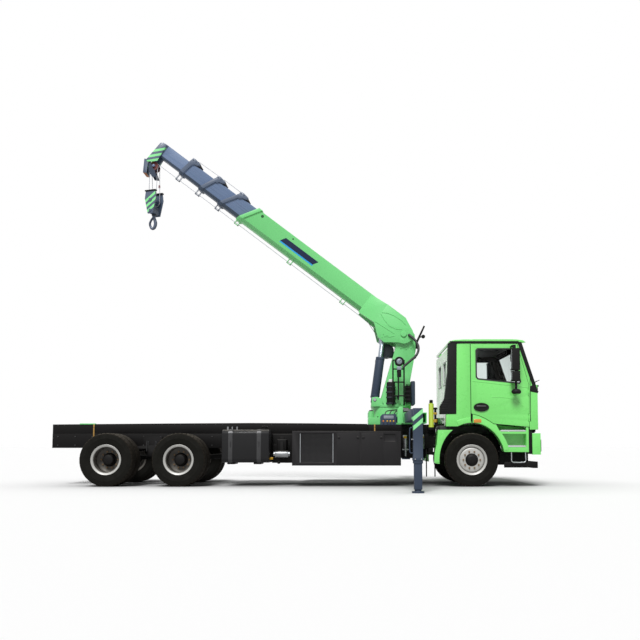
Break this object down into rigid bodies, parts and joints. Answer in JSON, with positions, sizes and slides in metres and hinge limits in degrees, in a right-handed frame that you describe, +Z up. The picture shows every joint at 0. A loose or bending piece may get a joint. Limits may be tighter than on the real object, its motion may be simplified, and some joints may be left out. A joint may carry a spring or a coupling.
{
  "type": "truck-mounted crane",
  "caption": "Forward-control truck with a telescopic crane behind the cab: extending boom, hanging hook block, side outriggers, tilting cab, opening doors and steered front wheels.",
  "frame": {"origin": "on the ground at the middle of the overall box, on the truck's centre line", "axes": "+X towards the cab, +Y to the driver's left, +Z up"},
  "size_m": [10.14, 6.576, 7.4793],
  "materials": {
    "frame_black": "satin black frame paint",
    "cab_green": "gloss light green body paint",
    "crane_green": "gloss mint green crane paint",
    "crane_slate": "semi-gloss slate blue crane paint",
    "tyre_rubber": "matt tyre rubber",
    "rim_silver": "silver wheel lacquer",
    "trim_black": "grained black plastic",
    "clear_glass": "tinted cab glass",
    "tank_metal": "dark painted tank",
    "service_metal": "bare cans and reservoirs",
    "cast_grey": "cast drive line",
    "bright_rod": "hard chromed rods",
    "sheave_red": "dark red sheaves",
    "rope_steel": "bright wire rope",
    "seat_fabric": "dark cloth and dash"
  },
  "bodies": {
    "chassis": {"frame_rails": "frame_black", "crossmembers": "frame_black", "subframe": "frame_black", "front_axle": "frame_black", "rear_axles": "frame_black", "springs": "frame_black", "powertrain": "cast_grey", "fuel_tank": "tank_metal", "side_boxes": "frame_black", "air_service": "service_metal", "bumper": "cab_green", "underrun_bar": "frame_black", "wings_and_steps": "cab_green", "crane_base": "crane_green", "crane_controls": "crane_slate"},
    "cab": {"cab_floor": "cab_green", "cab_body": "cab_green", "cab_roof": "cab_green", "cab_front": "cab_green", "cab_glass": "clear_glass", "cab_interior": "seat_fabric", "intake_duct": "trim_black"},
    "right_door": {"door_right": "cab_green", "door_glass_right": "clear_glass", "mirror_right": "trim_black"},
    "left_door": {"door_left": "cab_green", "door_glass_left": "clear_glass", "mirror_left": "trim_black"},
    "right_knuckle": {"knuckle_right": "frame_black"},
    "left_knuckle": {"knuckle_left": "frame_black"},
    "wheel_front_right": {"tyre_front_right": "tyre_rubber", "rim_front_right": "rim_silver"},
    "wheel_front_left": {"tyre_front_left": "tyre_rubber", "rim_front_left": "rim_silver"},
    "wheels_mid_right": {"tyres_mid_right": "tyre_rubber", "rims_mid_right": "rim_silver"},
    "wheels_mid_left": {"tyres_mid_left": "tyre_rubber", "rims_mid_left": "rim_silver"},
    "wheels_rear_right": {"tyres_rear_right": "tyre_rubber", "rims_rear_right": "rim_silver"},
    "wheels_rear_left": {"tyres_rear_left": "tyre_rubber", "rims_rear_left": "rim_silver"},
    "slewing": {"column": "crane_green", "column_fittings": "crane_slate", "winch": "crane_slate"},
    "boom": {"boom_base": "crane_green"},
    "second": {"section_2": "crane_slate"},
    "third": {"section_3": "crane_slate"},
    "fourth": {"section_4": "crane_slate"},
    "fifth": {"section_5": "crane_slate", "head_sheaves": "sheave_red"},
    "falls": {"hoist_falls": "rope_steel"},
    "block": {"hook_block": "crane_slate"},
    "load_hook": {"hook": "crane_slate"},
    "barrels": {"luff_barrels": "crane_slate"},
    "rods": {"luff_rods": "bright_rod"},
    "right_beam": {"beam_right": "crane_slate"},
    "left_beam": {"beam_left": "crane_slate"},
    "right_leg": {"leg_right": "crane_slate"},
    "left_leg": {"leg_left": "crane_slate"}
  },
  "joints": [
    {"name": "cab_tilt", "type": "hinge", "parent": "chassis", "child": "cab", "pos_m": [4.925, 0, 1.12], "axis": [0, 1, 0], "range_deg": [0, 50]},
    {"name": "door_right_hinge", "type": "hinge", "parent": "cab", "child": "right_door", "pos_m": [4.79, -1.23, 1.6], "axis": [0, 0, 1], "range_deg": [0, 70]},
    {"name": "door_left_hinge", "type": "hinge", "parent": "cab", "child": "left_door", "pos_m": [4.79, 1.23, 1.6], "axis": [0, 0, -1], "range_deg": [0, 70]},
    {"name": "steer_right", "type": "hinge", "parent": "chassis", "child": "right_knuckle", "pos_m": [3.64, -0.865, 0.535], "axis": [0, 0, 1], "range_deg": [-38, 38]},
    {"name": "steer_left", "type": "hinge", "parent": "chassis", "child": "left_knuckle", "pos_m": [3.64, 0.865, 0.535], "axis": [0, 0, 1], "range_deg": [-38, 38]},
    {"name": "spin_front_right", "type": "hinge", "parent": "right_knuckle", "child": "wheel_front_right", "pos_m": [3.64, -1.06, 0.535], "axis": [0, 1, 0], "continuous": true},
    {"name": "spin_front_left", "type": "hinge", "parent": "left_knuckle", "child": "wheel_front_left", "pos_m": [3.64, 1.06, 0.535], "axis": [0, 1, 0], "continuous": true},
    {"name": "spin_mid_right", "type": "hinge", "parent": "chassis", "child": "wheels_mid_right", "pos_m": [-2.23, -0.915, 0.535], "axis": [0, 1, 0], "continuous": true},
    {"name": "spin_mid_left", "type": "hinge", "parent": "chassis", "child": "wheels_mid_left", "pos_m": [-2.23, 0.915, 0.535], "axis": [0, 1, 0], "continuous": true},
    {"name": "spin_rear_right", "type": "hinge", "parent": "chassis", "child": "wheels_rear_right", "pos_m": [-3.68, -0.915, 0.535], "axis": [0, 1, 0], "continuous": true},
    {"name": "spin_rear_left", "type": "hinge", "parent": "chassis", "child": "wheels_rear_left", "pos_m": [-3.68, 0.915, 0.535], "axis": [0, 1, 0], "continuous": true},
    {"name": "beam_right_out", "type": "slide", "parent": "chassis", "child": "right_beam", "axis": [0, -1, 0], "range_m": [-1.84, 0]},
    {"name": "beam_left_out", "type": "slide", "parent": "chassis", "child": "left_beam", "axis": [0, 1, 0], "range_m": [-1.84, 0]},
    {"name": "leg_right_down", "type": "slide", "parent": "right_beam", "child": "right_leg", "axis": [0, 0, -1], "range_m": [-0.47, 0]},
    {"name": "leg_left_down", "type": "slide", "parent": "left_beam", "child": "left_leg", "axis": [0, 0, -1], "range_m": [0, 0.47]},
    {"name": "slew", "type": "hinge", "parent": "chassis", "child": "slewing", "pos_m": [2.08, 0, 1.63], "axis": [0, 0, 1], "continuous": true},
    {"name": "luff", "type": "hinge", "parent": "slewing", "child": "boom", "pos_m": [2.34, 0, 3.195], "axis": [0, 1, 0], "range_deg": [-37, 38]},
    {"name": "luff_barrel_swing", "type": "hinge", "parent": "slewing", "child": "barrels", "pos_m": [1.72, 0, 1.79], "axis": [0, 1, 0], "range_deg": [-3.5, 3.5]},
    {"name": "luff_rod_out", "type": "slide", "parent": "barrels", "child": "rods", "axis": [0.1351, 0, 0.9908], "range_m": [-0.25, 0.26]},
    {"name": "telescope_2", "type": "slide", "parent": "boom", "child": "second", "axis": [-0.7965, 0, 0.6046], "range_m": [0, 3.2]},
    {"name": "telescope_3", "type": "slide", "parent": "second", "child": "third", "axis": [-0.7965, 0, 0.6046], "range_m": [0, 3.2]},
    {"name": "telescope_4", "type": "slide", "parent": "third", "child": "fourth", "axis": [-0.7965, 0, 0.6046], "range_m": [0, 3.2]},
    {"name": "telescope_5", "type": "slide", "parent": "fourth", "child": "fifth", "axis": [-0.7965, 0, 0.6046], "range_m": [0, 3.2]},
    {"name": "hook_plumb", "type": "hinge", "parent": "fifth", "child": "falls", "pos_m": [-3.1383, 0, 6.97663], "axis": [0, 1, 0], "range_deg": [-38, 37]},
    {"name": "hoist", "type": "slide", "parent": "falls", "child": "block", "axis": [0, 0, -1], "range_m": [0, 4.4], "deforming": ["hoist_falls"]},
    {"name": "hook_swivel", "type": "hinge", "parent": "block", "child": "load_hook", "pos_m": [-3.1383, 0, 5.89663], "axis": [0, 0, 1], "continuous": true}
  ],
  "couplings": [
    {"joint": "steer_left", "follows": "steer_right", "ratio": 1},
    {"joint": "luff_barrel_swing", "follows": "luff", "ratio": -0.09},
    {"joint": "luff_rod_out", "follows": "luff", "m_per_rad": 0.384},
    {"joint": "telescope_3", "follows": "telescope_2", "ratio": 1},
    {"joint": "telescope_4", "follows": "telescope_2", "ratio": 1},
    {"joint": "telescope_5", "follows": "telescope_2", "ratio": 1},
    {"joint": "hook_plumb", "follows": "luff", "ratio": -1}
  ]
}
